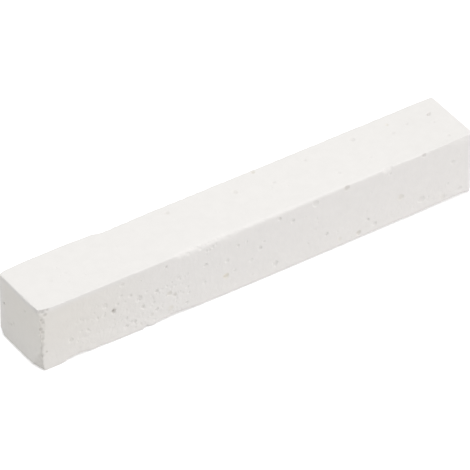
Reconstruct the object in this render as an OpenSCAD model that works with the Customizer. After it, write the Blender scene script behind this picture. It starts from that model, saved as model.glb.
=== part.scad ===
// Square stick of cast blackboard chalk, lying on one of its long faces.
// X runs along the stick, with the near end at -X. The front face is at -Y, and Z rises from the bench.
// The origin is the middle of the base. It is one casting, so it is one solid.

/* [Stick] */
// Length from end to end
stick_length = 83; // [60:0.5:120]
// Width of the section, from the front face to the back face
stick_width = 12.2; // [9:0.1:16]
// Height of the section, from the base to the top face
stick_height = 12.2; // [9:0.1:16]

/* [Edge rounding] */
// Radius of the top front edge, the crispest one
top_front_r = 0.3; // [0.1:0.05:1]
// Radius of the top back edge
top_back_r = 0.8; // [0.2:0.05:1.5]
// Radius of the two edges on the bench
base_edge_r = 0.6; // [0.2:0.05:1.5]
// Radius of the near end's top and bottom edges
near_edge_r = 0.3; // [0.1:0.05:1]
// Radius of the far end's top and bottom edges
far_edge_r = 0.6; // [0.2:0.05:1.5]
// Radius of the upright edges, apart from the worn one at the near end's front corner
upright_r = 1.2; // [0.4:0.05:2]
// Reach along the stick of the flat worn on that edge
worn_upright_along = 0.55; // [0.3:0.05:1.5]
// Reach of that flat across the end face
worn_upright_across = 1.6; // [0.5:0.1:3]

/* [Crisp stretch of the top back edge] */
// Length from the near end that has kept its sharp arris
crisp_length = 18; // [5:0.5:30]
// Radius of that arris
crisp_r = 0.15; // [0.1:0.05:0.2]

/* [Rubbed stretches] */
// Distance from the near end to the deepest point of the rub on the top front edge
rub_at = 30; // [15:0.5:45]
// How far that rub runs down the front face
rub_down = 0.55; // [0.3:0.05:1]
// How far it runs in across the top face
rub_in = 1; // [0.4:0.05:2]
// Length over which it dies out towards the far end
rub_fade = 36; // [15:1:45]
// Distance from the near end to the first scuff on the front base edge
first_scuff_at = 7; // [5:0.5:14]
// Distance from the near end to the second scuff on that edge
second_scuff_at = 25; // [18:0.5:40]
// How far the scuffs on the long edges run up and in
scuff_leg = 0.7; // [0.5:0.05:1.2]
// Half the length of a scuff
scuff_reach = 3; // [1:0.5:6]
// Length of the slow wear at the far end of the front base edge
tail_wear_length = 26; // [10:0.5:35]
// How far that wear runs up and in, at the far end
tail_wear_leg = 0.8; // [0.6:0.05:1.2]

/* [Broken corners] */
// Reach of the break at the near end's bottom front corner along the stick
foot_break_along = 1; // [0.6:0.1:2]
// Reach of that break back across the end face
foot_break_across = 3; // [1:0.1:5]
// Reach of that break up the edge
foot_break_up = 9; // [4:0.5:12]
// Reach of the chip at the near end's top front corner along the stick
top_chip_along = 2; // [0.8:0.1:3]
// Reach of that chip down the front face
top_chip_down = 1.6; // [0.6:0.1:3]
// Reach of that chip in across the top face
top_chip_across = 0.6; // [0.3:0.1:2]

/* [Bubble pits] */
// How deep a pit's centre lies under the face, as a share of its radius
pit_sink = 0.25; // [0:0.05:0.6]
// Number of small pits strewn over the back face
back_pits = 14; // [0:1:40]
// Smallest radius of the strewn pits
strewn_min_r = 0.2; // [0.15:0.01:0.25]
// Largest radius of the strewn pits
strewn_max_r = 0.32; // [0.26:0.01:0.45]
// Clear margin between the strewn pits and the edges of the face
strewn_margin = 1.5; // [0.5:0.1:3]
// Seed of the strewn pits
strewn_seed = 11; // [1:1:99]

/* [Hidden] */

chalk_white = [0.94, 0.93, 0.91];

near = -stick_length / 2;
far = stick_length / 2;
front = -stick_width / 2;
back = stick_width / 2;
past = 1;  // how far a cutter runs past the face that it enters
round_fn = 64;
wide_fn = 360;

// The overlapping hollows that make the rub on the top front edge: the reach of each as a share of
// rub_fade, and its share of the depth.
RUB_HOLLOWS = [[1 / 8, 1], [1 / 4, 0.6], [1 / 2, 0.35]];
scuff_tail_depth = 0.75;  // depth of a scuff's tail, as a share of the scuff's own
scuff_tail_reach = 1.5;  // reach of a scuff's tail, as a share of the scuff's own

// The worn long edges: where each lies in the section, and which way is out of the stick there.
TOP_FRONT = [[front, stick_height], [-1, 1]];
TOP_BACK = [[back, stick_height], [1, 1]];
BASE_FRONT = [[front, 0], [-1, -1]];

// Pits on the front face: distance from the near end, height above the bench, radius.
FRONT_PITS_NEAR = [
    [5.9, 4.2, 0.3],
    [12.2, 8.2, 0.22],
    [13.8, 6.4, 0.42],
    [14.6, 7.5, 0.22],
    [16.2, 2.3, 0.22],
    [17, 8.1, 0.25],
    [17.8, 2.5, 0.25],
    [18.7, 6.7, 0.28],
    [19.4, 4.9, 0.22],
    [20.9, 2.5, 0.24],
    [21.9, 6.8, 0.32],
    [21.9, 3.2, 0.25],
    [23.7, 10.9, 0.25],
    [24.4, 5.3, 0.32],
    [25.4, 4.6, 0.28],
    [31, 4.6, 0.22],
    [35.1, 4.1, 0.35],
    [35.2, 7.1, 0.3],
    [37.3, 9.2, 0.22]
];

// Pits on the front face: distance from the far end, height above the bench, radius.
FRONT_PITS_FAR = [
    [2.4, 2.1, 0.22],
    [4, 8.1, 0.22],
    [5.8, 1.8, 0.22],
    [10.1, 3.1, 0.25],
    [14.1, 5.2, 0.3],
    [19.2, 2.1, 0.24],
    [20.6, 3.5, 0.22],
    [22.3, 1.6, 0.28],
    [28.7, 4.1, 0.3],
    [35.2, 9.6, 0.26],
    [37.7, 11, 0.26],
    [38.5, 2.4, 0.28],
    [41.5, 6.9, 0.35]
];

// Pits broken open on the top front edge: distance from the far end, drop below the top, radius.
RIDGE_PITS_FAR = [
    [9.8, 0.2, 0.3],
    [16.9, 0.1, 0.25],
    [24.8, 0.4, 0.4]
];

// Pits on the top face: distance from the far end, distance in from the front face, radius.
TOP_PITS_FAR = [
    [3, 8.1, 0.3],
    [3.7, 5.9, 0.2],
    [10.4, 9.5, 0.22],
    [17.3, 9.4, 0.22],
    [34.1, 7.1, 0.2],
    [35.4, 11, 0.25]
];

// Pits on the top face: distance from the near end, distance in from the front face, radius.
TOP_PITS_NEAR = [
    [30.4, 9.9, 0.25]
];

// Pits on the near end face: distance in from the front face, height above the bench, radius.
NEAR_END_PITS = [
    [4, 9.9, 0.2],
    [10.3, 7.2, 0.25]
];

// One value for each strewn pit, drawn between two limits. Each draw has its own number.
function strewn(low, high, draw) = rands(low, high, back_pits, strewn_seed + draw);

// A rectangle from the origin whose corners are rounded with the radii r, counter-clockwise from
// the origin. The circles keep the arcs true.
module rounded_rectangle(x, y, r) {
    polygon([
        [r[0], 0], [x - r[1], 0],
        [x, r[1]], [x, y - r[2]],
        [x - r[2], y], [r[3], y],
        [0, y - r[3]], [0, r[0]]
    ]);
    translate([r[0], r[0]]) circle(r = r[0], $fn = round_fn);
    translate([x - r[1], r[1]]) circle(r = r[1], $fn = round_fn);
    translate([x - r[2], y - r[2]]) circle(r = r[2], $fn = round_fn);
    translate([r[3], y - r[3]]) circle(r = r[3], $fn = round_fn);
}

// A length of the stick's section, with the radius that its top back edge has there.
module length_of_section(from, to, back_r) {
    translate([from, front, 0])
        rotate([90, 0, 90])
            linear_extrude(height = to - from)
                rounded_rectangle(
                    stick_width, stick_height,
                    [base_edge_r, base_edge_r, back_r, top_front_r]
                );
}

// The stick seen from above, with its upright edges rounded or worn flat.
module plan_outline(x, y, r) {
    polygon([
        [worn_upright_along, 0], [x - r, 0],
        [x, r], [x, y - r],
        [x - r, y], [r, y],
        [0, y - r], [0, worn_upright_across]
    ]);
    for (centre = [[x - r, r], [x - r, y - r], [r, y - r]])
        translate(centre) circle(r = r, $fn = round_fn);
}

module plan_prism() {
    translate([near, front, -past])
        linear_extrude(height = stick_height + 2 * past)
            plan_outline(stick_length, stick_width, upright_r);
}

// The stick seen from the front, with its end faces' top and bottom edges rounded.
module side_prism() {
    translate([near, back + past, 0])
        rotate([90, 0, 0])
            linear_extrude(height = stick_width + 2 * past)
                rounded_rectangle(
                    stick_length, stick_height,
                    [near_edge_r, far_edge_r, far_edge_r, near_edge_r]
                );
}

module cast_bar() {
    intersection() {
        union() {
            length_of_section(near, near + crisp_length, crisp_r);
            length_of_section(near + crisp_length, far, top_back_r);
        }
        plan_prism();
        side_prism();
    }
}

// A shallow hollow rubbed along an edge: the side of a wide cylinder that crosses the edge. It runs
// down the side face by down and in across the top or base by in, and dies out a reach either way.
module rub(edge, at, down, in, reach) {
    depth = down * in / norm([down, in]);
    r = (reach * reach + depth * depth) / (2 * depth);
    translate([at, edge[0].x, edge[0].y])
        mirror([0, edge[1].x > 0 ? 1 : 0, 0])
            mirror([0, 0, edge[1].y > 0 ? 1 : 0])
                rotate([atan2(in, down) - 90, 0, 0])
                    translate([0, 0, depth - r])
                        rotate([90, 0, 0])
                            cylinder(
                                r = r, h = norm([down, in]) + 2 * past,
                                center = true, $fn = wide_fn
                            );
}

// The rub on the top front edge starts abruptly and dies out slowly: its hollows all start together.
module top_front_rub() {
    start = near + rub_at - RUB_HOLLOWS[0][0] * rub_fade;
    for (hollow = RUB_HOLLOWS) {
        reach = hollow[0] * rub_fade;
        rub(TOP_FRONT, start + reach, hollow[1] * rub_down, hollow[1] * rub_in, reach);
    }
}

// A scuff, with a shallower tail that trails off from it towards the far end.
module scuff(edge, at) {
    tail_leg = scuff_tail_depth * scuff_leg;
    rub(edge, at, scuff_leg, scuff_leg, scuff_reach);
    rub(edge, at + scuff_reach, tail_leg, tail_leg, scuff_tail_reach * scuff_reach);
}

module long_edge_wear() {
    top_front_rub();
    scuff(TOP_BACK, near + crisp_length + scuff_reach);
    scuff(BASE_FRONT, near + first_scuff_at);
    scuff(BASE_FRONT, near + second_scuff_at);
    rub(BASE_FRONT, far, tail_wear_leg, tail_wear_leg, tail_wear_length);
}

// A flat break across a corner, through the three points at the given reaches along its edges.
// way says, axis by axis, which way the stick lies from the corner.
module corner_break(corner, way, reach) {
    inward = [way.x / reach.x, way.y / reach.y, way.z / reach.z];
    depth = 1 / norm(inward);
    size = 2 * norm(reach);
    translate(corner)
        rotate([0, acos(inward.z / norm(inward)), atan2(inward.y, inward.x)])
            translate([-size / 2, -size / 2, depth - size])
                cube(size);
}

module near_corner_breaks() {
    corner_break(
        [near, front, 0], [1, 1, 1],
        [foot_break_along, foot_break_across, foot_break_up]
    );
    corner_break(
        [near, front, stick_height], [1, 1, -1],
        [top_chip_along, top_chip_across, top_chip_down]
    );
}

// A pit left by an air bubble. The face is at the origin, and Z points out of it.
module pit(r) {
    translate([0, 0, -pit_sink * r]) sphere(r = r, $fn = round_fn);
}

module on_front(x, z) {
    translate([x, front, z]) rotate([90, 0, 0]) children();
}

module on_back(x, z) {
    translate([x, back, z]) rotate([-90, 0, 0]) children();
}

module on_top(x, y) {
    translate([x, front + y, stick_height]) children();
}

module on_near_end(y, z) {
    translate([near, front + y, z]) rotate([0, -90, 0]) children();
}

module seen_pits() {
    for (p = FRONT_PITS_NEAR) on_front(near + p[0], p[1]) pit(p[2]);
    for (p = FRONT_PITS_FAR) on_front(far - p[0], p[1]) pit(p[2]);
    for (p = RIDGE_PITS_FAR) on_front(far - p[0], stick_height - p[1]) pit(p[2]);
    for (p = TOP_PITS_NEAR) on_top(near + p[0], p[1]) pit(p[2]);
    for (p = TOP_PITS_FAR) on_top(far - p[0], p[1]) pit(p[2]);
    for (p = NEAR_END_PITS) on_near_end(p[0], p[1]) pit(p[2]);
}

module strewn_back_pits() {
    x = strewn(near + strewn_margin, far - strewn_margin, 0);
    z = strewn(strewn_margin, stick_height - strewn_margin, 1);
    r = strewn(strewn_min_r, strewn_max_r, 2);
    for (i = [0 : 1 : back_pits - 1]) on_back(x[i], z[i]) pit(r[i]);
}

module chalk_stick() {
    color(chalk_white)
        difference() {
            cast_bar();
            long_edge_wear();
            near_corner_breaks();
            seen_pits();
            strewn_back_pits();
        }
}

chalk_stick();
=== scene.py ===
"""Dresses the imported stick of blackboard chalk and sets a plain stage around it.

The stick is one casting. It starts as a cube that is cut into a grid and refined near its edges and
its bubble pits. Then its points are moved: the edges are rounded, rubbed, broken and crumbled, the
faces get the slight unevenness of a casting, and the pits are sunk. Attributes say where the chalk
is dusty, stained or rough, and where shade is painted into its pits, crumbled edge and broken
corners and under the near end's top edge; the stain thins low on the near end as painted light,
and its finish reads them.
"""

import math

import bmesh
import bpy
import numpy as np
from bpy.props import FloatProperty, FloatVectorProperty, IntProperty, PointerProperty
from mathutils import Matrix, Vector, noise


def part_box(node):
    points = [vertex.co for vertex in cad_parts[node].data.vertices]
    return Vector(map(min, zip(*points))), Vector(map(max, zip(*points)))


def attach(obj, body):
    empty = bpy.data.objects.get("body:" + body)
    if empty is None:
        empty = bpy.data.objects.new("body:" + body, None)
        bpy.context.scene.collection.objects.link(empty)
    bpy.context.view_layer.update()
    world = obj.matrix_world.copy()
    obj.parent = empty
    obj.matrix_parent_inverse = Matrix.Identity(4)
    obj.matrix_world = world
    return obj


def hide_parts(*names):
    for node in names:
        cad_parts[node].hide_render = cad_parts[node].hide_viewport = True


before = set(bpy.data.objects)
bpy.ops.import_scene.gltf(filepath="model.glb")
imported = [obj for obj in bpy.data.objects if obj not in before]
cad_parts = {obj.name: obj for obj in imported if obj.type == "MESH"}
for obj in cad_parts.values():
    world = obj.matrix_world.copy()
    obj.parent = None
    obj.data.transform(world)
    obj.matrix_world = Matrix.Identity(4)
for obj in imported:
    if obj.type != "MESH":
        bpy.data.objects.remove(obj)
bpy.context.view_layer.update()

bl_info = {
    "name": "Chalk Stick",
    "version": (1, 0, 0),
    "blender": (4, 5, 0),
    "location": "3D Viewport > Sidebar > Chalk",
    "description": "Dresses a packed stick of blackboard chalk and sets a plain stage around it",
    "category": "Object",
}

MM = 0.001
LOW, HIGH = (np.array(corner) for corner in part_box("chalk_stick"))

# Bites in the near end's crumbled upright edge: distance from the near end, height above the bench,
# radius, depth, dust and painted shade, stain. Lengths are in millimetres.
EDGE_BITES = [
    (0.8, 11.7, 0.36, 0.10, 0.32, 0.0),
    (1.3, 11.1, 0.38, 0.10, 0.36, 0.0),
    (1.7, 11.9, 0.30, 0.08, 0.35, 0.0),
    (0.5, 10.3, 0.34, 0.08, 0.32, 0.0),
    (0.85, 9.7, 0.38, 0.10, 0.38, 0.0),
    (0.3, 8.5, 0.46, 0.12, 0.48, 0.0),
    (0.65, 7.8, 0.40, 0.10, 0.34, 0.0),
    (0.6, 6.5, 0.42, 0.07, 0.28, 0.0),
    (0.2, 4.6, 0.50, 0.08, 0.34, 0.0),
    (1.3, 3.75, 0.28, 0.12, 0.25, 0.0),
    (0.2, 3.2, 0.60, 0.08, 0.36, 0.0),
    (0.2, 2.2, 0.50, 0.06, 0.30, 0.0),
]

# Pits on the front face: distance from the near end, height above the bench, radius, depth, dust
# and painted shade, stain. The two close together 14 mm along make one large pit. Lengths are in
# millimetres.
FRONT_PITS = [
    (5.8, 4.1, 0.50, 0.17, 0.02, 0.0),
    (12.1, 8.1, 0.56, 0.13, 0.02, 0.0),
    (13.85, 6.35, 0.38, 0.36, 0.19, 0.0),
    (13.8, 6.0, 0.38, 0.20, 0.13, 0.0),
    (14.5, 7.4, 0.31, 0.11, 0.0, 0.0),
    (15.2, 8.7, 0.38, 0.11, 0.0, 0.0),
    (15.4, 10.8, 0.42, 0.12, 0.01, 0.0),
    (16.1, 3.8, 0.34, 0.11, 0.0, 0.0),
    (16.1, 2.2, 0.42, 0.15, 0.01, 0.0),
    (16.9, 8.0, 0.39, 0.12, 0.0, 0.0),
    (17.7, 2.4, 0.40, 0.17, 0.0, 0.0),
    (18.5, 6.6, 0.66, 0.15, 0.04, 0.0),
    (18.9, 1.3, 0.24, 0.07, 0.0, 0.2),
    (19.2, 4.8, 0.48, 0.23, 0.01, 0.05),
    (20.8, 2.4, 0.40, 0.16, 0.0, 0.1),
    (21.2, 4.7, 0.36, 0.12, 0.0, 0.0),
    (21.8, 6.7, 0.37, 0.22, 0.0, 0.0),
    (21.8, 3.1, 0.38, 0.17, 0.0, 0.0),
    (23.6, 10.8, 0.33, 0.17, 0.0, 0.0),
    (24.2, 5.2, 0.46, 0.18, 0.02, 0.3),
    (24.5, 2.2, 0.44, 0.06, 0.02, 0.4),
    (25.2, 4.5, 0.41, 0.21, 0.01, 0.15),
    (30.8, 4.5, 0.38, 0.10, 0.0, 0.0),
    (31.0, 7.9, 0.40, 0.17, 0.0, 0.0),
    (34.9, 4.0, 0.50, 0.16, 0.01, 0.8),
    (35.1, 7.0, 0.44, 0.13, 0.01, 0.0),
    (36.5, 4.4, 0.36, 0.10, 0.01, 0.0),
    (37.2, 9.1, 0.32, 0.15, 0.0, 0.0),
    (38.8, 9.2, 0.24, 0.08, 0.0, 0.0),
    (39.7, 5.1, 0.42, 0.10, 0.01, 0.0),
    (41.4, 6.8, 0.46, 0.18, 0.01, 0.0),
    (42.1, 7.8, 0.26, 0.10, 0.0, 0.0),
    (44.3, 2.3, 0.58, 0.21, 0.02, 0.0),
    (45.1, 11.0, 0.40, 0.18, 0.01, 0.0),
    (47.7, 9.5, 0.41, 0.15, 0.025, 0.0),
    (52.0, 5.8, 0.33, 0.06, 0.01, 0.0),
    (52.2, 8.0, 0.32, 0.07, 0.0, 0.0),
    (54.2, 4.0, 0.34, 0.20, 0.0, 0.0),
    (56.8, 1.8, 0.40, 0.07, 0.02, 0.25),
    (60.5, 1.5, 0.48, 0.22, 0.09, 0.3),
    (62.3, 3.4, 0.34, 0.20, 0.0, 0.0),
    (63.6, 2.0, 0.46, 0.14, 0.04, 0.0),
    (68.7, 5.1, 0.60, 0.15, 0.04, 0.3),
    (72.8, 3.0, 0.66, 0.13, 0.08, 0.0),
    (77.0, 1.7, 0.58, 0.09, 0.015, 0.15),
    (78.0, 4.0, 0.28, 0.08, 0.0, 0.0),
    (78.9, 8.0, 0.46, 0.11, 0.06, 0.0),
    (80.4, 2.0, 0.50, 0.10, 0.06, 0.0),
]

# Pits on the top face: distance from the near end, distance in from the front face, radius, depth,
# dust and painted shade, stain. Lengths are in millimetres.
TOP_PITS = [
    (5.8, 5.6, 0.42, 0.02, 0.05, 0.0),
    (8.0, 4.0, 0.32, 0.02, 0.04, 0.0),
    (8.8, 6.1, 0.38, 0.02, 0.04, 0.0),
    (30.3, 10.0, 0.44, 0.09, 0.14, 0.1),
    (42.3, 8.5, 0.50, 0.08, 0.11, 0.1),
    (47.5, 11.2, 0.34, 0.08, 0.20, 0.5),
    (48.8, 7.2, 0.31, 0.08, 0.12, 0.0),
    (56.2, 9.2, 0.34, 0.07, 0.12, 0.0),
    (58.9, 3.5, 0.37, 0.06, 0.08, 0.0),
    (65.6, 9.5, 0.50, 0.10, 0.14, 0.0),
    (65.5, 4.1, 0.28, 0.04, 0.05, 0.0),
    (72.5, 9.6, 0.28, 0.07, 0.02, 0.5),
    (72.1, 7.3, 0.38, 0.07, 0.09, 0.0),
    (75.3, 8.0, 0.33, 0.07, 0.10, 0.0),
    (79.7, 8.2, 0.32, 0.26, 0.36, 0.0),
    (80.1, 8.4, 0.26, 0.16, 0.20, 0.0),
    (79.2, 6.0, 0.26, 0.06, 0.06, 0.0),
    (79.2, 1.8, 0.37, 0.07, 0.10, 0.0),
]

# Pits on the near end face: distance in from the front face, height above the bench, radius, depth,
# dust and painted shade, stain. Lengths are in millimetres.
END_PITS = [
    (10.3, 7.2, 0.27, 0.20, 0.10, 0.0),
    (9.1, 3.9, 0.40, 0.12, 0.09, 0.0),
    (8.4, 4.15, 0.44, 0.12, 0.12, 0.0),
    (7.6, 4.9, 0.36, 0.09, 0.09, 0.0),
    (4.1, 9.75, 0.22, 0.12, 0.08, 0.0),
]

# Pits in the top front edge: distance from the near end, drop below the top, radius, depth, dust
# and painted shade, stain. Lengths are in millimetres.
RIDGE_PITS = [
    (27.9, 0.6, 0.32, 0.08, 0.0, 0.0),
    (30.1, 0.6, 0.34, 0.10, 0.0, 0.0),
    (31.2, 1.5, 0.28, 0.08, 0.015, 0.0),
    (31.8, 1.6, 0.30, 0.09, 0.015, 0.0),
    (32.4, 1.2, 0.40, 0.11, 0.02, 0.0),
    (33.0, 0.9, 0.26, 0.08, 0.01, 0.0),
    (52.0, 1.1, 0.64, 0.14, 0.06, 0.0),
    (58.1, 0.5, 0.54, 0.09, 0.28, 0.15),
    (66.5, 1.3, 0.24, 0.06, 0.03, 0.0),
    (73.1, 0.35, 0.42, 0.09, 0.24, 0.0),
]

# The flat rubbed along the top back edge: distance from the near end, how far it reaches across the
# top, how far down the back, how soft its rims are. The mould's edge is still crisp over the first
# stretch. Lengths are in millimetres.
TOP_BACK_FLAT = [
    (0, 0.02, 0.03, 0.03),
    (13, 0.03, 0.05, 0.03),
    (15, 0.14, 0.24, 0.06),
    (17.3, 0.20, 0.34, 0.08),
    (18.8, 0.54, 0.90, 0.12),
    (20.5, 0.68, 1.08, 0.12),
    (22.5, 0.56, 0.92, 0.12),
    (30, 0.49, 0.84, 0.12),
    (60, 0.43, 0.74, 0.12),
    (83, 0.38, 0.65, 0.12),
]

# How far the bottom front edge is rounded: distance from the near end, radius, in millimetres.
BASE_FRONT_RADII = [
    (0, 0.10),
    (3.6, 0.12),
    (4.6, 0.45),
    (5.5, 1.15),
    (7.4, 1.32),
    (8.7, 1.28),
    (9.4, 0.76),
    (10.6, 0.66),
    (11.4, 0.78),
    (15, 0.48),
    (19.3, 0.46),
    (19.8, 1.08),
    (20.1, 1.10),
    (20.5, 0.60),
    (20.9, 0.40),
    (21.5, 0.40),
    (22.2, 0.92),
    (23.2, 1.00),
    (25.5, 1.25),
    (29, 0.80),
    (35, 0.60),
    (48, 0.65),
    (57, 0.85),
    (67, 1.05),
    (73, 1.10),
    (78, 1.35),
    (83, 1.55),
]

# The flat worn along the top front edge: distance from the near end, how far it reaches across the
# top, how far down the front, how soft its rims are. Lengths are in millimetres.
TOP_FRONT_FLAT = [
    (0, 0.28, 5.0, 0.05),
    (1, 0.18, 5.0, 0.05),
    (2.3, 0.08, 5.0, 0.05),
    (8, 0.04, 5.0, 0.05),
    (16, 0.02, 5.0, 0.05),
    (18, 0.03, 0.08, 0.05),
    (20, 0.05, 0.06, 0.05),
    (25, 0.08, 0.09, 0.06),
    (26.5, 0.42, 0.52, 0.28),
    (31, 0.46, 0.53, 0.28),
    (35, 0.42, 0.50, 0.28),
    (38, 0.34, 0.39, 0.22),
    (42, 0.30, 0.34, 0.20),
    (46, 0.27, 0.29, 0.17),
    (49, 0.24, 0.26, 0.15),
    (53, 0.21, 0.25, 0.14),
    (57, 0.17, 0.18, 0.12),
    (63, 0.16, 0.16, 0.12),
    (65.0, 0.10, 0.15, 0.08),
    (65.5, 0.44, 0.76, 0.08),
    (66.7, 0.44, 0.62, 0.08),
    (67.1, 0.05, 0.13, 0.06),
    (69, 0.05, 0.13, 0.06),
    (70.5, 0.13, 0.13, 0.10),
    (73, 0.12, 0.12, 0.10),
    (74.5, 0.05, 0.14, 0.06),
    (76, 0.03, 0.15, 0.06),
    (77.8, 0.03, 0.15, 0.06),
    (79.2, 0.15, 0.8, 0.05),
    (83, 0.20, 1.0, 0.05),
]

# How far the near end's front upright edge is crumbled: height above the bench, how far the end has
# worn back at the edge, how far the crumbled strip reaches along the front. Lengths are in
# millimetres.
UPRIGHT_WEAR = [
    (0, 0.70, 0.95),
    (2, 0.62, 0.90),
    (4.4, 0.58, 0.90),
    (6, 0.46, 1.05),
    (7.6, 0.34, 1.20),
    (9, 0.26, 1.25),
    (10.5, 0.30, 1.30),
    (11.3, 0.34, 1.40),
    (11.9, 0.10, 1.75),
    (12.2, 0.01, 2.00),
]

# Corners that are broken or worn off: which end, side and face they are at (0 for the lower, 1 for
# the upper), how far the break reaches along the length, the width and the height in millimetres,
# and how much shade is painted on the break.
BROKEN_CORNERS = [
    ((0, 0, 0), (0.9, 2.6, 5.0), 0.20),
    ((0, 0, 0), (1.25, 12.0, 0.5), 0.0),
    ((0, 0, 1), (2.5, 0.6, 1.8), 0.30),
    ((0, 0, 1), (0.28, 3.6, 2.0), 0.10),
    ((0, 1, 0), (1.2, 1.7, 1.9), 0.0),
    ((0, 1, 1), (1.6, 0.8, 0.8), 0.0),
    ((0, 1, 1), (5.5, 0.34, 0.5), 0.0),
    ((1, 1, 1), (2.4, 0.6, 0.5), 0.0),
    ((1, 0, 1), (0.3, 0.45, 0.3), 0.0),
    ((1, 0, 0), (1.2, 0.7, 1.0), 0.0),
]

# Which way the pits in the top front edge go in.
RIDGE_INWARD = (0, 1, -0.6)

# The strewn pits and the pinholes: how far they keep off the box's edges, where the rough stretch
# of the front starts and ends along the stick, how high it reaches, and where its pocked part
# starts. Lengths are in metres.
PIT_MARGIN = 1.5 * MM
PINHOLE_MARGIN = 0.9 * MM
ROUGH_START, ROUGH_END, ROUGH_TOP = 7 * MM, 28 * MM, 8 * MM
POCKED_START = 14 * MM

# A strewn pit's stain is drawn from here up to its face's most, and below zero the pit is clean.
CLEANEST = -1.5

# The most that a strewn pit can be stained, and how many times fewer pits the far end gets than a long
# face, and pinholes the top than the rough stretch.
MOST_STAINED = 1.0
TIMES_FEWER = 6

# The ranges that radii and depths are drawn from, in millimetres: the strewn pits', and those of the
# pinholes in the rough stretch, all over the front, on the top, in the pocked part and on the back.
PIT_SIZES = (0.26, 0.48), (0.07, 0.20)
ROUGH_SIZES = (0.15, 0.36), (0.03, 0.08)
FRONT_SIZES = (0.12, 0.26), (0.03, 0.08)
TOP_SIZES = (0.12, 0.22), (0.03, 0.08)
POCKED_SIZES = (0.16, 0.30), (0.05, 0.10)
BACK_SIZES = (0.16, 0.34), (0.04, 0.10)

# How far from the edges, and from the pits' rims, each halving of the grid reaches, in metres. The
# first also takes in the skin that is rougher than the limit.
WIDE_HALVING = (1.6 * MM, 0.9 * MM)
NARROW_HALVING = (0.9 * MM, 0.4 * MM)
FINE_PIT_REACH = 0.1 * MM
ROUGH_SKIN = 0.5

# The finest cells: how far they reach from the near end's front edge and from the rubbed top front
# edge, how far those two reach along the stick, and how far onto the front and the top. Lengths are
# in metres.
FINE_UPRIGHT_REACH, FINE_RIDGE_REACH = 1.0 * MM, 0.5 * MM
FINE_UPRIGHT_END = 1.6 * MM
FINE_RIDGE_START, FINE_RIDGE_END = 26 * MM, 44 * MM
FINE_ON_FRONT, FINE_ON_TOP = 2 * MM, 1 * MM

# Ragged and patchy places: by how much they vary, the size of their swells in metres, and a number
# that sets each pattern apart from the others.
BASE_RAGS = (0.15, 1.2 * MM, 47.0)
RUB_RAGS = (0.25, 0.9 * MM, 31.0)
FOOT_RAGS = (0.2, 1.5 * MM, 53.0)
UPRIGHT_RAGS = (0.35, 0.7 * MM, 71.0)
DUST_AND_SHADE_PATCHES = (0.5, 0.6 * MM, 83.0)
FILM_AND_SHADE_PATCHES = (0.6, 2.5 * MM, 97.0)

# The cast faces: the share of each size of swell, and the size in metres. Then the size of the
# dimples in the skin, and how much is added to their pattern so that they cover more than half of
# it. Last, how far from the edges the way out of the stick begins to turn, in metres.
SWELLS = ((0.65, 6 * MM), (0.35, 2.2 * MM))
DIMPLE_SIZE, DIMPLE_COVER = 1.3 * MM, 0.2
TURN_REACH = 1.2 * MM

# The box's upright edges: the radius of the one that is crumbled instead, the share of a radius
# that an edge has at the bench, and how much it grows from there to the top. Then how close to a
# corner its radii blend evenly, and the least length that anything is divided by, both in metres.
SHARP_RADIUS = 0.1 * MM
UPRIGHT_AT_BENCH, UPRIGHT_GROWTH = 0.82, 0.36
CORNER_BLEND = 0.1 * MM
LEAST_LENGTH = 1e-9

# How soft the rims of the cuts are, in metres.
FOOT_SOFTNESS = 0.06 * MM
BREAK_SOFTNESS = 0.08 * MM
UPRIGHT_SOFTNESS = 0.05 * MM

# A broken corner gets painted shade where the break has moved its face by this much, from none to
# all, in metres.
BREAK_SHADED = (0.02 * MM, 0.15 * MM)

# The near end's front upright edge: how far across the end it has worn back, and the share of its
# reach along the front that the crumbled strip cuts into the end. Then where the strip is dusty and
# has painted shade in its crevices, in metres: how far in from its rim this is full, how deep behind
# the front it lies, and the heights between which the darker low part ends. Last, how much dust and
# painted shade it has, and how much more painted shade it has low down.
WORN_BACK_REACH = 2.5 * MM
STRIP_SLANT = 0.25
STRIP_RIM = 0.5 * MM
STRIP_DEPTH = 0.1 * MM
STRIP_LOW_PART = (5 * MM, 7 * MM)
STRIP_DUST_AND_SHADE, STRIP_LOW_SHADE = 0.4, 0.25

# The crumbling of the edges: how far it reaches from them, and where it starts and dies out along
# the top front edge, in metres. Then how strong it is there, how strong it is at the least, and how
# far along the front it is full at the near end. Last, the size of the crumbs, the number of their
# pattern, and how much is added to it so that they cover more than half.
CRUMBLE_REACH = 0.5 * MM
CRUMBLE_START, CRUMBLE_END = (25.5 * MM, 27.5 * MM), (34 * MM, 45 * MM)
RIDGE_CRUMBLE, LEAST_CRUMBLE = 0.6, 0.15
CRUMBLED_END = 2 * MM
CRUMB_SIZE, CRUMB_PATTERN, CRUMB_COVER = 0.5 * MM, 5.0, 0.1

# A pit, in shares of its radius: how far from its middle points can belong to it, how ragged its
# mouth is and how large those swells are, and how far its stain spreads. Then the number of the
# ragged pattern, and how much the bowl bulges: the less, the flatter its floor and the steeper its
# rim.
PIT_REACH, PIT_RAGGED, PIT_SWELL, PIT_STAIN_REACH = 1.6, 0.25, 0.9, 1.5
PIT_PATTERN = 3.0
PIT_FULLNESS = 0.65

# The handled end's stain: where it fades out along the stick, how far below the top and off the
# back it comes in, and how far above the bench it is full, in metres. Then the share that is left
# at the bench. Its thinning towards the bench is painted light, which lightens the end's low part
# against the shade near the floor.
STAIN_ALONG = (4 * MM, 27 * MM)
STAIN_BELOW_TOP = (0.2 * MM, 1.2 * MM)
STAIN_OFF_BACK = (0.5 * MM, 2.5 * MM)
PAINTED_LIGHT_ABOVE_BENCH = (0, 8 * MM)
STAIN_AT_BENCH_UNDER_PAINTED_LIGHT = 0.4

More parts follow.
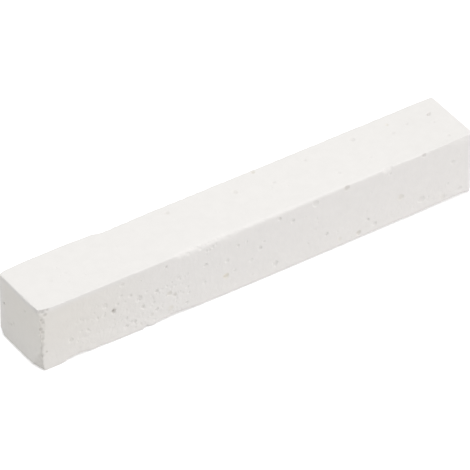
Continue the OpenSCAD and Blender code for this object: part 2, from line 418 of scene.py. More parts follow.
# The film of dust on the top: how strong it is, where it comes in along the stick, and how far down
# it fades out. Then the painted shade under the near end's top edge: how strong it is, how far down
# it fades out there, and how close to a face a point is that lies on it. Lengths are in metres.
TOP_FILM, TOP_FILM_START, TOP_FILM_DROP = 0.03, (62 * MM, 78 * MM), (0, 1 * MM)
END_SHADE, END_SHADE_DROP = 0.08, (0.3 * MM, 1.2 * MM)
ON_FACE = 0.01 * MM

# How rough the skin is on the front, how much rougher it is low down, in the near third, and low
# down there, and how rough it is on the top and elsewhere. Then, in metres, where the near third
# starts and ends, the heights above the bench where the low part ends and above the top where the
# sides do, and how deep behind the front its skin goes.
FRONT_SKIN, LOW_SKIN, NEAR_SKIN, LOW_NEAR_SKIN = 0.3, 0.35, 0.2, 0.15
TOP_SKIN, OTHER_SKIN = 0.12, 0.35
NEAR_THIRD_START, NEAR_THIRD_END = (4 * MM, 8 * MM), (25 * MM, 30 * MM)
LOW_SKIN_END, SIDES_END = (3 * MM, 10 * MM), (-1 * MM, 0)
FRONT_DEPTH = 0.5 * MM

# The chalk's finish: how much it shines, how much its shade varies, and the scale and detail of its
# mottling, its grain and the relief of its skin.
SHINE = 0.15
DARKEST, LIGHTEST = 0.97, 1.03
MOTTLE = (700, 5)
GRAIN = (5000, 3)
SKIN_RELIEF = (1300, 2)

# The stage: each lamp's place and width, the fill lamp's colour, half the floor's width, and how
# near and how far the camera sees, in metres. Then the floor's roughness, and the sky's colour.
OVERHEAD_PLACE, OVERHEAD_WIDTH = (0.0, -0.15, 1.0), 0.5
FILL_PLACE, FILL_WIDTH = (0.45, -0.25, 0.1), 0.15
FILL_COLOUR = (1.0, 0.93, 0.96)
FLOOR_REACH = 2.0
NEAREST, FARTHEST = 0.01, 10
FLOOR_ROUGHNESS = 0.9
WHITE = (1, 1, 1, 1)


class StickShape(bpy.types.PropertyGroup):
    """The stick's edges and faces."""

    cell: FloatProperty(
        name="Grid Cell", description="Size of the largest faces on the stick",
        default=0.64 * MM, min=0.3 * MM, max=1.5 * MM, unit="LENGTH",
    )
    ridge_radius: FloatProperty(
        name="Ridge Radius", description="Radius of the top front edge",
        default=0.12 * MM, min=0.05 * MM, max=1 * MM, unit="LENGTH",
    )
    base_radius: FloatProperty(
        name="Base Radius", description="Radius of the long back edge on the bench",
        default=0.6 * MM, min=0.1 * MM, max=1.5 * MM, unit="LENGTH",
    )
    end_radius: FloatProperty(
        name="End Radius", description="Radius of the top edges at both ends",
        default=0.18 * MM, min=0.1 * MM, max=1 * MM, unit="LENGTH",
    )
    foot_bevel: FloatProperty(
        name="Foot Bevel", description="How far the bottom edges at both ends are worn off",
        default=0.35 * MM, min=0.1 * MM, max=1 * MM, unit="LENGTH",
    )
    back_radius: FloatProperty(
        name="Back Radius", description="Radius of the upright edges at the back, halfway up",
        default=0.83 * MM, min=0.2 * MM, max=2 * MM, unit="LENGTH",
    )
    far_radius: FloatProperty(
        name="Far Radius", description="Radius of the far end's front upright edge, halfway up",
        default=1.1 * MM, min=0.2 * MM, max=2 * MM, unit="LENGTH",
    )
    unevenness: FloatProperty(
        name="Unevenness", description="How far the cast faces sink between their high spots",
        default=0.04 * MM, min=0, max=0.3 * MM, unit="LENGTH",
    )
    dimpling: FloatProperty(
        name="Dimpling", description="How deep the skin is dimpled where it is roughest",
        default=0.05 * MM, min=0, max=0.2 * MM, unit="LENGTH",
    )
    crumble: FloatProperty(
        name="Crumble", description="How deep the worn edges have crumbled",
        default=0.15 * MM, min=0, max=0.4 * MM, unit="LENGTH",
    )
    strewn_pits: IntProperty(
        name="Strewn Pits", description="Number of pits on the back face, and on the base",
        default=18, min=0, max=60,
    )
    pinholes: IntProperty(
        name="Pinholes", description="Number of pinholes where the front face is roughest",
        default=60, min=0, max=120,
    )
    seed: IntProperty(
        name="Seed", description="Seed of the strewn pits and of the unevenness", default=11, min=0,
    )


class ChalkFinish(bpy.types.PropertyGroup):
    """The chalk's colours and its surface."""

    chalk: FloatVectorProperty(
        name="Chalk", description="Colour of clean chalk",
        default=(0.848, 0.832, 0.809), size=3, min=0, max=1, subtype="COLOR",
    )
    # This colour is the dust's, and it also paints shade into the pits, the crumbled edge, the broken
    # corners and under the near end's top edge.
    dust_and_shade: FloatVectorProperty(
        name="Dust", description="Colour of the dust in pits and on broken faces",
        default=(0.4, 0.37, 0.33), size=3, min=0, max=1, subtype="COLOR",
    )
    stain: FloatVectorProperty(
        name="Stain", description="Colour of stained pits and of the handled end",
        default=(0.8, 0.76, 0.67), size=3, min=0, max=1, subtype="COLOR",
    )
    # Besides dust, this paints shade into the crumbled edge's crevices.
    edge_dust_and_shade: FloatProperty(
        name="Edge Dust", description="How much dust lies on the crumbled upright edge",
        default=0.36, min=0, max=1, subtype="FACTOR",
    )
    handling: FloatProperty(
        name="Handling", description="How stained the handled end is",
        default=0.3, min=0, max=1, subtype="FACTOR",
    )
    relief: FloatProperty(
        name="Relief", description="Height of the faint relief in the roughest skin",
        default=0.11 * MM, min=0, max=0.2 * MM, unit="LENGTH",
    )
    roughness: FloatProperty(
        name="Roughness", description="Roughness of the chalk",
        default=0.92, min=0, max=1, subtype="FACTOR",
    )
    grain: FloatProperty(
        name="Grain", description="Height of the fine grain",
        default=0.01 * MM, min=0, max=0.1 * MM, unit="LENGTH",
    )


class StageSettings(bpy.types.PropertyGroup):
    """The camera, the lamps and the floor."""

    azimuth: FloatProperty(
        name="Azimuth", description="Where the camera stands round the stick; 0 looks along +Y",
        default=math.radians(-33.65), unit="ROTATION",
    )
    elevation: FloatProperty(
        name="Elevation", description="How high the camera stands above the bench",
        default=math.radians(38.4), unit="ROTATION",
    )
    distance: FloatProperty(
        name="Distance", description="From the camera to the point that it looks at",
        default=875.5 * MM, min=100 * MM, unit="LENGTH",
    )
    aim: FloatVectorProperty(
        name="Aim", description="The point that the camera looks at",
        default=(-0.78 * MM, 0.09 * MM, 5.65 * MM), size=3, subtype="XYZ", unit="LENGTH",
    )
    lens: FloatProperty(
        name="Lens", description="The camera's focal length, in millimetres on a 36 mm sensor",
        default=420, min=20, max=1000,
    )
    sky: FloatProperty(
        name="Sky", description="Strength of the even light from all round",
        default=0.466, min=0, max=2,
    )
    overhead: FloatProperty(
        name="Overhead", description="Power of the soft lamp above the stick, in watts",
        default=5.84, min=0, max=50,
    )
    fill: FloatProperty(
        name="Fill", description="Power of the low lamp in front of the stick's far end, in watts",
        default=0.5, min=0, max=10,
    )
    glow: FloatProperty(
        name="Glow", description="How much whiter the floor is to the camera than by its light alone",
        default=0.45, min=0, max=1,
    )
    floor: FloatVectorProperty(
        name="Floor", description="Colour of the floor",
        default=(0.9, 0.9, 0.9), size=3, min=0, max=1, subtype="COLOR",
    )


class Pit:
    """A hollow in the surface: where its mouth is, which way it goes in, and how it looks."""

    def __init__(self, mouth, inward, radius, depth, dust_and_shade=0.0, stain=0.0):
        self.mouth = np.array(mouth)
        self.inward = np.array(inward) / np.linalg.norm(inward)
        self.radius = radius * MM
        self.depth = depth * MM
        # How much the pit is darkened, by dust and by painted shade.
        self.dust_and_shade = dust_and_shade
        self.stain = stain


def placed_pits():
    """The bites and the pits that are placed one by one."""
    near, front, top = LOW[0], LOW[1], HIGH[2]
    pits = [
        Pit((near + along * MM, front, height * MM), (0, 1, 0), *look)
        for along, height, *look in EDGE_BITES + FRONT_PITS
    ]
    pits += [
        Pit((near + along * MM, front + across * MM, top), (0, 0, -1), *look)
        for along, across, *look in TOP_PITS
    ]
    pits += [
        Pit((near, front + across * MM, height * MM), (1, 0, 0), *look)
        for across, height, *look in END_PITS
    ]
    pits += [
        Pit((near + along * MM, front, top - drop * MM), RIDGE_INWARD, *look)
        for along, drop, *look in RIDGE_PITS
    ]
    return pits


def strewn(draw, count, low, high, fixed, inward, radii, depths, most_stain=0.0):
    """Pits at random places in a box, on the face whose place along one axis is fixed. Radii and
    depths are in millimetres."""
    pits = []
    for _ in range(count):
        spot = draw.uniform(low, high)
        mouth = [own if own is not None else value for own, value in zip(fixed, spot)]
        radius, depth = draw.uniform(*radii), draw.uniform(*depths)
        stain = max(0.0, draw.uniform(CLEANEST, most_stain))
        pits.append(Pit(mouth, inward, radius, depth, stain=stain))
    return pits


def strewn_pits(shape):
    """Pits on the back face, the base and the far end, some of them stained, and pinholes on the
    front, the top and the back."""
    draw = np.random.default_rng(shape.seed)
    back, base = ((None, HIGH[1], None), (0, -1, 0)), ((None, None, LOW[2]), (0, 0, 1))
    far_end = ((HIGH[0], None, None), (-1, 0, 0))
    front, top = ((None, LOW[1], None), (0, 1, 0)), ((None, None, HIGH[2]), (0, 0, -1))
    low, high = LOW + PIT_MARGIN, HIGH - PIT_MARGIN
    pits = []
    for count, face in (
        (shape.strewn_pits, back),
        (shape.strewn_pits, base),
        (shape.strewn_pits // TIMES_FEWER, far_end),
    ):
        pits += strewn(draw, count, low, high, *face, *PIT_SIZES, MOST_STAINED)
    low, high = LOW + PINHOLE_MARGIN, HIGH - PINHOLE_MARGIN
    rough_low = np.array([LOW[0] + ROUGH_START, low[1], low[2]])
    rough_high = np.array([LOW[0] + ROUGH_END, high[1], LOW[2] + ROUGH_TOP])
    pocked_low = np.array([LOW[0] + POCKED_START, low[1], low[2]])
    for count, start, stop, face, sizes in (
        (shape.pinholes, rough_low, rough_high, front, ROUGH_SIZES),
        (shape.pinholes // 2, low, high, front, FRONT_SIZES),
        (shape.pinholes // TIMES_FEWER, low, high, top, TOP_SIZES),
        (shape.pinholes // 2, pocked_low, rough_high, front, POCKED_SIZES),
        (shape.pinholes // 2, low, high, back, BACK_SIZES),
    ):
        pits += strewn(draw, count, start, stop, *face, *sizes)
    return pits


def edge_distance(points):
    """How far each point on the box's surface is from the nearest of its edges."""
    to_planes = np.minimum(points - LOW, HIGH - points)
    return np.sort(to_planes, axis=1)[:, 1]


def cut_blank(mesh, cell):
    """A box as large as the stick, cut into a grid of about that cell."""
    bmesh.ops.create_cube(mesh, size=1.0)
    bmesh.ops.scale(mesh, verts=mesh.verts, vec=HIGH - LOW)
    bmesh.ops.translate(mesh, verts=mesh.verts, vec=(HIGH + LOW) / 2)
    for axis, side in enumerate(HIGH - LOW):
        along = [e for e in mesh.edges if abs((e.verts[0].co - e.verts[1].co)[axis]) > cell]
        bmesh.ops.subdivide_edges(
            mesh, edges=along, cuts=round(side / cell) - 1, use_grid_fill=True
        )


def fine_edge_reach(points):
    """How far from an edge the finest cells reach: where the top front edge is rubbed down, and at
    the near end's front edge."""
    along = points[:, 0] - LOW[0]
    on_front = points[:, 1] < LOW[1] + FINE_ON_FRONT
    on_ridge = on_front & (points[:, 2] > HIGH[2] - FINE_ON_TOP)
    ridge = on_ridge & (along > FINE_RIDGE_START) & (along < FINE_RIDGE_END)
    upright = on_front & (points[:, 0] < LOW[0] + FINE_UPRIGHT_END)
    return np.where(upright, FINE_UPRIGHT_REACH, np.where(ridge, FINE_RIDGE_REACH, 0))


def refine(mesh, pits, edge_reach, pit_reach, roughest=1.0):
    """Halves the grid's cells near the box's edges, near the pits and where the skin is rougher
    than the given limit. The reach from the edges may be a function of the place."""
    centres = np.array([face.calc_center_median() for face in mesh.faces])
    reach = edge_reach(centres) if callable(edge_reach) else edge_reach
    close = (edge_distance(centres) < reach) | (roughness_of_skin(centres) > roughest)
    for pit in pits:
        close |= np.linalg.norm(centres - pit.mouth, axis=1) < pit.radius + pit_reach
    for face, hit in zip(mesh.faces, close):
        face.tag = bool(hit)
    edges = [e for e in mesh.edges if any(face.tag for face in e.link_faces)]
    bmesh.ops.subdivide_edges(mesh, edges=edges, cuts=1, use_grid_fill=True)


def smooth_step(low, high, value):
    """0 below the low limit, 1 above the high one, and a smooth rise between them."""
    share = np.clip((value - low) / (high - low), 0, 1)
    return share * share * (3 - 2 * share)


def worn(along, stations, column=1):
    """How worn an edge is along its length, from a list of stations in millimetres."""
    places = [station[0] * MM for station in stations]
    wear = [station[column] * MM for station in stations]
    return np.interp(along, places, wear)


def ripple(points, size, pattern):
    """Smooth noise from -1 to 1, with swells of about that size."""
    return np.array([noise.noise(p) for p in (points / size + pattern).tolist()])


def uneven(points, amount, size, pattern):
    """About 1, more or less by that amount at most, in swells of about that size."""
    return 1 + amount * ripple(points, size, pattern)


def soft_excess(distance, softness):
    """The distance where it is above zero and zero below, with a soft bend between the two."""
    return (distance + np.sqrt(distance**2 + softness**2)) / 2


def round_edges(points, shape):
    """Rounds the box's edges. Each edge has its own radius, and a corner gets a blend of three. The
    upright edges are a little rounder at the top than at the bench."""
    is_far, is_back, is_top = (points > (LOW + HIGH) / 2).T
    along = points[:, 0] - LOW[0]
    base_front = worn(along, BASE_FRONT_RADII) * uneven(points, *BASE_RAGS)
    base_edge = np.where(is_back, shape.base_radius, base_front)
    long_edge = np.where(is_top, shape.ridge_radius, base_edge)
    end_edge = np.where(is_top, shape.end_radius, shape.ridge_radius)
    height = (points[:, 2] - LOW[2]) / (HIGH[2] - LOW[2])
    front_upright = np.where(is_far, shape.far_radius, SHARP_RADIUS)
    upright = np.where(is_back, shape.back_radius, front_upright)
    upright = upright * (UPRIGHT_AT_BENCH + UPRIGHT_GROWTH * height)
    radii = np.column_stack([long_edge, end_edge, upright])
    to_x, to_y, to_z = np.minimum(points - LOW, HIGH - points).T
    far_from = np.column_stack(
        [np.maximum(to_y, to_z), np.maximum(to_x, to_z), np.maximum(to_x, to_y)]
    )
    weights = 1 / (far_from + CORNER_BLEND) ** 2
    radius = (radii * weights).sum(1) / weights.sum(1)
    inner = np.clip(points, LOW + radius[:, None], HIGH - radius[:, None])
    out = points - inner
    length = np.linalg.norm(out, axis=1)
    return inner + out * (radius / np.maximum(length, LEAST_LENGTH))[:, None]


def outward(points):
    """Which way is out of the stick at each point, turning smoothly round the edges."""
    out = points - np.clip(points, LOW + TURN_REACH, HIGH - TURN_REACH)
    return out / np.linalg.norm(out, axis=1)[:, None]


def cut_flat(points, corner, reaches, softness):
    """Cuts a corner or an edge off along a plane, and softens the cut's rims. The plane crosses the
    edges that leave the corner at the given reaches, and a reach's sign says which way its edge
    runs. The reach is infinite along an edge that isn't crossed, and may differ from point to
    point."""
    slopes = np.column_stack([np.broadcast_to(-1 / reach, len(points)) for reach in reaches])
    steepness = np.linalg.norm(slopes, axis=1)
    normal = slopes / steepness[:, None]
    excess = ((points - corner) * normal).sum(1) + 1 / steepness
    return points - normal * soft_excess(excess, softness)[:, None]


def rub_long_edges(points):
    """The two top edges along the stick: each is rubbed to a flat whose width changes along it."""
    along = points[:, 0] - LOW[0]
    ragged = uneven(points, *RUB_RAGS)
    for stations, side, inward in ((TOP_FRONT_FLAT, LOW[1], 1), (TOP_BACK_FLAT, HIGH[1], -1)):
        across, drop, softness = (worn(along, stations, column) for column in (1, 2, 3))
        corner = np.array([0, side, HIGH[2]])
        reaches = (np.inf, inward * across * ragged, -drop * ragged)
        points = cut_flat(points, corner, reaches, softness)
    return points


def bevel_feet(points, shape):
    """The bottom edges at both ends are worn off."""
    leg = shape.foot_bevel * uneven(points, *FOOT_RAGS)
    for end, inward in ((LOW[0], 1), (HIGH[0], -1)):
        edge = np.array([end, 0, LOW[2]])
        points = cut_flat(points, edge, (inward * leg, np.inf, leg), FOOT_SOFTNESS)
    return points


def break_corners(points):
    """Breaks corners off. Also returns how much shade is painted on each point with it."""
    ends = np.array([LOW, HIGH])
    dust_and_shade = np.zeros(len(points))
    for which, reaches, amount in BROKEN_CORNERS:
        corner = ends[which, (0, 1, 2)]
        inward = np.where(which, -1, 1)
        cut = cut_flat(points, corner, inward * np.array(reaches) * MM, BREAK_SOFTNESS)
        moved = np.linalg.norm(cut - points, axis=1)
        # The broken face gets painted shade.
        dust_and_shade = np.maximum(dust_and_shade, amount * smooth_step(*BREAK_SHADED, moved))
        points = cut
    return points, dust_and_shade


def crumble_upright(points, nominal, finish):
    """Wears the near end back at its front upright edge, and crumbles that edge. Also returns how
    dusty each point is with it, together with the shade painted into the crumbled strip."""
    ragged = uneven(nominal, *UPRIGHT_RAGS)
    up = nominal[:, 2] - LOW[2]
    set_back, reach = (worn(up, UPRIGHT_WEAR, column) * ragged for column in (1, 2))
    edge = np.array([LOW[0], LOW[1], 0])
    worn_back = cut_flat(points, edge, (set_back, WORN_BACK_REACH, np.inf), UPRIGHT_SOFTNESS)
    cut = cut_flat(worn_back, edge, (reach, STRIP_SLANT * reach, np.inf), UPRIGHT_SOFTNESS)
    inside = smooth_step(0, STRIP_RIM, LOW[0] + reach - nominal[:, 0])
    on_front = nominal[:, 1] < LOW[1] + STRIP_DEPTH
    low_down = 1 - smooth_step(*STRIP_LOW_PART, up)
    # The crumbled strip is darkened by dust and by painted shade in its crevices, with more painted
    # shade low down.
    return cut, finish.edge_dust_and_shade * (STRIP_DUST_AND_SHADE + STRIP_LOW_SHADE * low_down) * inside * on_front


def crumbled(points, shape):
    """How deep the worn edges have crumbled at each point."""
    along = points[:, 0] - LOW[0]
    near_edge = np.exp(-((edge_distance(points) / CRUMBLE_REACH) ** 2))
    on_front = points[:, 1] < (LOW[1] + HIGH[1]) / 2
    on_top = points[:, 2] > (LOW[2] + HIGH[2]) / 2
    lasts = smooth_step(*CRUMBLE_START, along) * (1 - smooth_step(*CRUMBLE_END, along))
    ridge = RIDGE_CRUMBLE * (on_front & on_top) * lasts
    upright = on_front & (along < CRUMBLED_END)
    crumbs = np.clip(ripple(points, CRUMB_SIZE, CRUMB_PATTERN) + CRUMB_COVER, 0, 1)
    return shape.crumble * near_edge * np.clip(ridge + upright + LEAST_CRUMBLE, 0, 1) * crumbs


def sink_pits(points, nominal, pits):
    """Sinks each pit. Also returns, from 0 to 1, how dusty each point is with it together with the
    shade painted into the pit, and how stained it is.
    """
    dust_and_shade, stain = np.zeros(len(points)), np.zeros(len(points))
    for pit in pits:
        near = np.linalg.norm(nominal - pit.mouth, axis=1) < PIT_REACH * pit.radius
        offset = nominal[near] - pit.mouth
        ragged = uneven(nominal[near], PIT_RAGGED, PIT_SWELL * pit.radius, PIT_PATTERN)
        distance = np.linalg.norm(offset, axis=1) * ragged / pit.radius
        share = np.clip(1 - distance**2, 0, 1) ** PIT_FULLNESS
        points[near] += pit.inward * (pit.depth * share)[:, None]
        # The pit's floor is darkened by dust and by painted shade.
        dust_and_shade[near] = np.maximum(dust_and_shade[near], pit.dust_and_shade * share)
        halo = np.clip(PIT_STAIN_REACH - distance, 0, 1)
        stain[near] = np.maximum(stain[near], pit.stain * halo)
    return points, dust_and_shade, stain


def handled(points):
    """How far each point is in the handled end, from 0 to 1. The top and the back stay clean. Towards
    the bench the stain thins as painted light against the shade there.
    """
    at_end = 1 - smooth_step(*STAIN_ALONG, points[:, 0] - LOW[0])
    below_top = smooth_step(*STAIN_BELOW_TOP, HIGH[2] - points[:, 2])
    off_back = smooth_step(*STAIN_OFF_BACK, HIGH[1] - points[:, 1])
    # Painted light: the stain thins towards the bench, so the end's low part is lighter.
    above_painted_light = smooth_step(*PAINTED_LIGHT_ABOVE_BENCH, points[:, 2] - LOW[2])
    return at_end * below_top * off_back * (STAIN_AT_BENCH_UNDER_PAINTED_LIGHT + (1 - STAIN_AT_BENCH_UNDER_PAINTED_LIGHT) * above_painted_light)


def dust_film_and_end_shade(points):
    """The thin dusty film on the top towards the far end, and the painted shade along the near end's
    top edge.
    """
    along, drop = points[:, 0] - LOW[0], HIGH[2] - points[:, 2]
    on_top = smooth_step(*TOP_FILM_START, along) * (1 - smooth_step(*TOP_FILM_DROP, drop))
    on_end = (along < ON_FACE) & (drop > ON_FACE)
    # Painted shade: a darker band just under the near end's top edge.
    shade_under_edge = on_end * (1 - smooth_step(*END_SHADE_DROP, drop))
    return (TOP_FILM * on_top + END_SHADE * shade_under_edge) * uneven(points, *FILM_AND_SHADE_PATCHES)


def roughness_of_skin(points):
    """How rough the skin is: 1 low on the front face's near third, less elsewhere."""
    along, up = points[:, 0] - LOW[0], points[:, 2] - LOW[2]
    near_third = smooth_step(*NEAR_THIRD_START, along) * (1 - smooth_step(*NEAR_THIRD_END, along))
    low_down = 1 - smooth_step(*LOW_SKIN_END, up)
    rougher = NEAR_SKIN + LOW_NEAR_SKIN * low_down
    front = FRONT_SKIN + LOW_SKIN * low_down + near_third * rougher
    on_front = points[:, 1] < LOW[1] + FRONT_DEPTH
    on_top = smooth_step(*SIDES_END, points[:, 2] - HIGH[2])
    return np.where(on_front, front, OTHER_SKIN) * (1 - on_top) + TOP_SKIN * on_top


def shape_points(nominal, shape, finish, pits):
    """Where each point of the grid ends up, with its attributes."""
    rounded = round_edges(nominal, shape)
    rubbed = bevel_feet(rub_long_edges(rounded), shape)
    broken, break_shade = break_corners(rubbed)
    worn_off, edge_dust_and_shade = crumble_upright(broken, nominal, finish)
    skin = roughness_of_skin(nominal)
    swells = sum(share * ripple(nominal, size, shape.seed) for share, size in SWELLS)
    dimples = ripple(nominal, DIMPLE_SIZE, shape.seed) + DIMPLE_COVER
    sunk = shape.unevenness * np.clip(swells, 0, 1)
    sunk += shape.dimpling * skin**2 * np.clip(dimples, 0, 1)
    sunk += crumbled(nominal, shape)
    cast = worn_off - outward(worn_off) * sunk[:, None]
    points, pit_dust_and_shade, pit_stain = sink_pits(cast, nominal, pits)
    # Dust and painted shade on the broken corners and the crumbled edge, in patches.
    worn_dust_and_shade = np.maximum(break_shade, edge_dust_and_shade) * uneven(nominal, *DUST_AND_SHADE_PATCHES)
    # The darkening values carry dust and painted shade; the stain values carry stains, thinned low on
    # the near end as painted light.
    looks = {
        "dust_and_shade": np.maximum(pit_dust_and_shade, worn_dust_and_shade) + dust_film_and_end_shade(nominal),
        "stain": np.maximum(pit_stain, finish.handling * handled(nominal)),
        "skin": skin,
    }
    return np.clip(points, LOW, HIGH), looks


def set_attribute(data, name, values):
    """Gives the mesh a value for each of its points."""
    attribute = data.attributes.new(name, "FLOAT", "POINT")
    attribute.data.foreach_set("value", values.astype(np.float32))


def link(obj):
    """Puts an object in the scene."""
    bpy.context.scene.collection.objects.link(obj)
    return obj


def fine_noise(nodes, links, place, scale, detail):
    """Noise that stays with the object, read from its Object coordinates."""
    texture = nodes.new("ShaderNodeTexNoise")
    texture.inputs["Scale"].default_value = scale
    texture.inputs["Detail"].default_value = detail
    links.new(place.outputs["Object"], texture.inputs["Vector"])
    return texture.outputs["Fac"]


def point_value(nodes, name):
    """The value that each point of the mesh has under that name."""
    attribute = nodes.new("ShaderNodeAttribute")
    attribute.attribute_name = name
    return attribute.outputs["Fac"]


def chalk_material(finish):
    """Matt chalk with faint mottling, a fine grain and a low relief. It is dusty and stained where
    the mesh's attributes say so. The darkening also paints shade into the pits, the crumbled edge,
    the broken corners and under the near end's top edge, and the stain thins low on the near end as
    painted light."""
    material = bpy.data.materials.new("chalk")
    material.use_nodes = True
    nodes, links = material.node_tree.nodes, material.node_tree.links
    shader = nodes["Principled BSDF"]
    shader.inputs["Roughness"].default_value = finish.roughness
    shader.inputs["Specular IOR Level"].default_value = SHINE

    place = nodes.new("ShaderNodeTexCoord")
    shade = nodes.new("ShaderNodeMapRange")
    shade.inputs["To Min"].default_value = DARKEST
    shade.inputs["To Max"].default_value = LIGHTEST
    links.new(fine_noise(nodes, links, place, *MOTTLE), shade.inputs["Value"])
    body = nodes.new("ShaderNodeMix")
    body.data_type, body.blend_type = "RGBA", "MULTIPLY"
    body.inputs["Factor"].default_value = 1
    body.inputs["A"].default_value = (*finish.chalk, 1)
    links.new(shade.outputs["Result"], body.inputs["B"])

    last = body.outputs["Result"]
    # The darkening layer paints shade into the pits, the crumbled edge, the broken corners and under
    # the near end's top edge, along with dust.
    for name, colour in (("stain", finish.stain), ("dust_and_shade", finish.dust_and_shade)):
        layer = nodes.new("ShaderNodeMix")
        layer.data_type = "RGBA"
        layer.inputs["B"].default_value = (*colour, 1)
        links.new(point_value(nodes, name), layer.inputs["Factor"])
        links.new(last, layer.inputs["A"])
        last = layer.outputs["Result"]
    links.new(last, shader.inputs["Base Color"])

    skin = nodes.new("ShaderNodeBump")
    skin.inputs["Distance"].default_value = finish.relief
    links.new(point_value(nodes, "skin"), skin.inputs["Strength"])
    links.new(fine_noise(nodes, links, place, *SKIN_RELIEF), skin.inputs["Height"])
    grain = nodes.new("ShaderNodeBump")
    grain.inputs["Distance"].default_value = finish.grain
    links.new(fine_noise(nodes, links, place, *GRAIN), grain.inputs["Height"])
    links.new(skin.outputs["Normal"], grain.inputs["Normal"])
    links.new(grain.outputs["Normal"], shader.inputs["Normal"])
    return material


class CHALK_OT_cast_stick(bpy.types.Operator):
    """Casts the stick, with its worn edges, broken corners and pits"""

    bl_idname = "chalk.cast_stick"
    bl_label = "Cast the Stick"

    def execute(self, context):
        shape, finish = context.scene.chalk_shape, context.scene.chalk_finish
        pits = placed_pits() + strewn_pits(shape)
        mesh = bmesh.new()
        cut_blank(mesh, shape.cell)
        refine(mesh, pits, *WIDE_HALVING, ROUGH_SKIN)
        refine(mesh, pits, *NARROW_HALVING)
        refine(mesh, pits, fine_edge_reach, FINE_PIT_REACH)
        many_sided = [face for face in mesh.faces if len(face.verts) > 4]
        bmesh.ops.triangulate(mesh, faces=many_sided)
        for face in mesh.faces:
            face.smooth = True
        data = bpy.data.meshes.new("cast_stick")
        mesh.to_mesh(data)
        mesh.free()
        nominal = np.empty(len(data.vertices) * 3)
        data.vertices.foreach_get("co", nominal)
        points, looks = shape_points(nominal.reshape(-1, 3), shape, finish, pits)
        data.vertices.foreach_set("co", points.ravel())
        for name, values in looks.items():
            set_attribute(data, name, values)
        data.update()
        data.materials.append(chalk_material(finish))
        stick = link(bpy.data.objects.new("cast_stick", data))
        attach(stick, "root")
        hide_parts("chalk_stick")
        return {"FINISHED"}


class CHALK_OT_set_stage(bpy.types.Operator):
    """Sets the floor, the lamps, the sky and the camera around the stick"""

    bl_idname = "chalk.set_stage"
    bl_label = "Set the Stage"

    def execute(self, context):
        stage = context.scene.chalk_stage
        context.scene.view_settings.view_transform = "Standard"
        add_camera(stage)
        add_floor(stage)
        add_lamp("overhead", stage.overhead, OVERHEAD_PLACE, OVERHEAD_WIDTH)
        fill = add_lamp("fill", stage.fill, FILL_PLACE, FILL_WIDTH)
        fill.color = FILL_COLOUR
        add_sky(stage)
        return {"FINISHED"}


def add_camera(stage):
    """The camera, which looks down at the stick's front and its near end."""
    camera = bpy.data.cameras.new("camera")
    camera.lens = stage.lens
    camera.clip_start, camera.clip_end = NEAREST, FARTHEST
    back = Vector((
        math.sin(stage.azimuth) * math.cos(stage.elevation),
        -math.cos(stage.azimuth) * math.cos(stage.elevation),
        math.sin(stage.elevation),
    ))
    holder = link(bpy.data.objects.new("camera", camera))
    holder.location = Vector(stage.aim) + back * stage.distance
    holder.rotation_euler = back.to_track_quat("Z", "Y").to_euler()
    bpy.context.scene.camera = holder


def add_floor(stage):
    """The pale floor. It keeps the stick's shadow, and is a little whiter to the camera."""
    mesh = bmesh.new()
    bmesh.ops.create_grid(mesh, x_segments=1, y_segments=1, size=FLOOR_REACH)
    data = bpy.data.meshes.new("floor")
    mesh.to_mesh(data)
    mesh.free()
    material = bpy.data.materials.new("floor")
    material.use_nodes = True
    nodes, links = material.node_tree.nodes, material.node_tree.links
    shader = nodes["Principled BSDF"]
    shader.inputs["Base Color"].default_value = (*stage.floor, 1)
    shader.inputs["Roughness"].default_value = FLOOR_ROUGHNESS
    glow = nodes.new("ShaderNodeEmission")
    glow.inputs["Strength"].default_value = stage.glow
    both = nodes.new("ShaderNodeAddShader")
    seen = seen_directly(nodes, links)
    pick = nodes.new("ShaderNodeMixShader")
    links.new(shader.outputs["BSDF"], both.inputs[0])
    links.new(glow.outputs["Emission"], both.inputs[1])
    links.new(seen, pick.inputs["Fac"])
    links.new(shader.outputs["BSDF"], pick.inputs[1])
    links.new(both.outputs["Shader"], pick.inputs[2])
    links.new(pick.outputs["Shader"], nodes["Material Output"].inputs["Surface"])
    data.materials.append(material)
    link(bpy.data.objects.new("floor", data))


def seen_directly(nodes, links):
    """1 for what the camera sees directly, in a mirror or through glass, and 0 for other light."""
    path = nodes.new("ShaderNodeLightPath")
    either = nodes.new("ShaderNodeMath")
    either.operation = "MAXIMUM"
    links.new(path.outputs["Is Camera Ray"], either.inputs[0])
    links.new(path.outputs["Is Glossy Ray"], either.inputs[1])
    any_of = nodes.new("ShaderNodeMath")
    any_of.operation = "MAXIMUM"
    links.new(either.outputs["Value"], any_of.inputs[0])
    links.new(path.outputs["Is Transmission Ray"], any_of.inputs[1])
    return any_of.outputs["Value"]


def add_lamp(name, power, place, width):
    """A round soft lamp that shines at the stick."""
    lamp = bpy.data.lights.new(name, "AREA")
    lamp.shape = "DISK"
    lamp.size = width
    lamp.energy = power
    holder = link(bpy.data.objects.new(name, lamp))
    holder.location = Vector(place)
    holder.rotation_euler = holder.location.to_track_quat("Z", "Y").to_euler()
    return lamp


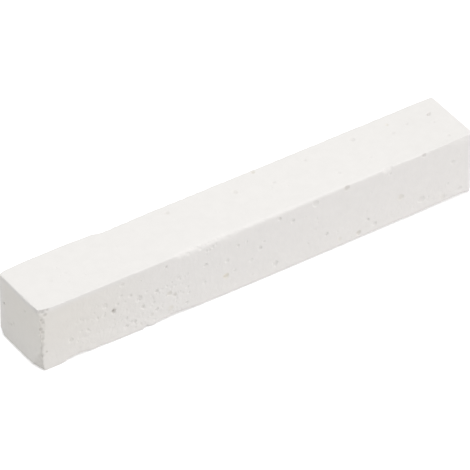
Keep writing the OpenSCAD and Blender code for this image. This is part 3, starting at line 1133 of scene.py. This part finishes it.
def add_sky(stage):
    """Even light from all round. The camera sees plain white behind the stick."""
    world = bpy.data.worlds.new("sky")
    world.use_nodes = True
    nodes, links = world.node_tree.nodes, world.node_tree.links
    sky = nodes["Background"]
    sky.inputs["Color"].default_value = WHITE
    sky.inputs["Strength"].default_value = stage.sky
    backdrop = nodes.new("ShaderNodeBackground")
    backdrop.inputs["Color"].default_value = WHITE
    pick = nodes.new("ShaderNodeMixShader")
    links.new(seen_directly(nodes, links), pick.inputs["Fac"])
    links.new(sky.outputs["Background"], pick.inputs[1])
    links.new(backdrop.outputs["Background"], pick.inputs[2])
    links.new(pick.outputs["Shader"], nodes["World Output"].inputs["Surface"])
    bpy.context.scene.world = world


class CHALK_PT_sidebar(bpy.types.Panel):
    """Lists the stick's settings and its two operators"""

    bl_idname = "CHALK_PT_sidebar"
    bl_label = "Chalk Stick"
    bl_space_type = "VIEW_3D"
    bl_region_type = "UI"
    bl_category = "Chalk"

    def draw(self, context):
        scene = context.scene
        for settings in (scene.chalk_shape, scene.chalk_finish, scene.chalk_stage):
            box = self.layout.box()
            for name in settings.__annotations__:
                box.prop(settings, name)
        self.layout.operator(CHALK_OT_cast_stick.bl_idname)
        self.layout.operator(CHALK_OT_set_stage.bl_idname)


CLASSES = (
    StickShape,
    ChalkFinish,
    StageSettings,
    CHALK_OT_cast_stick,
    CHALK_OT_set_stage,
    CHALK_PT_sidebar,
)


def register():
    for cls in CLASSES:
        bpy.utils.register_class(cls)
    bpy.types.Scene.chalk_shape = PointerProperty(type=StickShape)
    bpy.types.Scene.chalk_finish = PointerProperty(type=ChalkFinish)
    bpy.types.Scene.chalk_stage = PointerProperty(type=StageSettings)


def unregister():
    del bpy.types.Scene.chalk_stage
    del bpy.types.Scene.chalk_finish
    del bpy.types.Scene.chalk_shape
    for cls in reversed(CLASSES):
        bpy.utils.unregister_class(cls)


def main():
    register()
    bpy.ops.chalk.cast_stick()
    bpy.ops.chalk.set_stage()


if __name__ == "__main__":
    main()
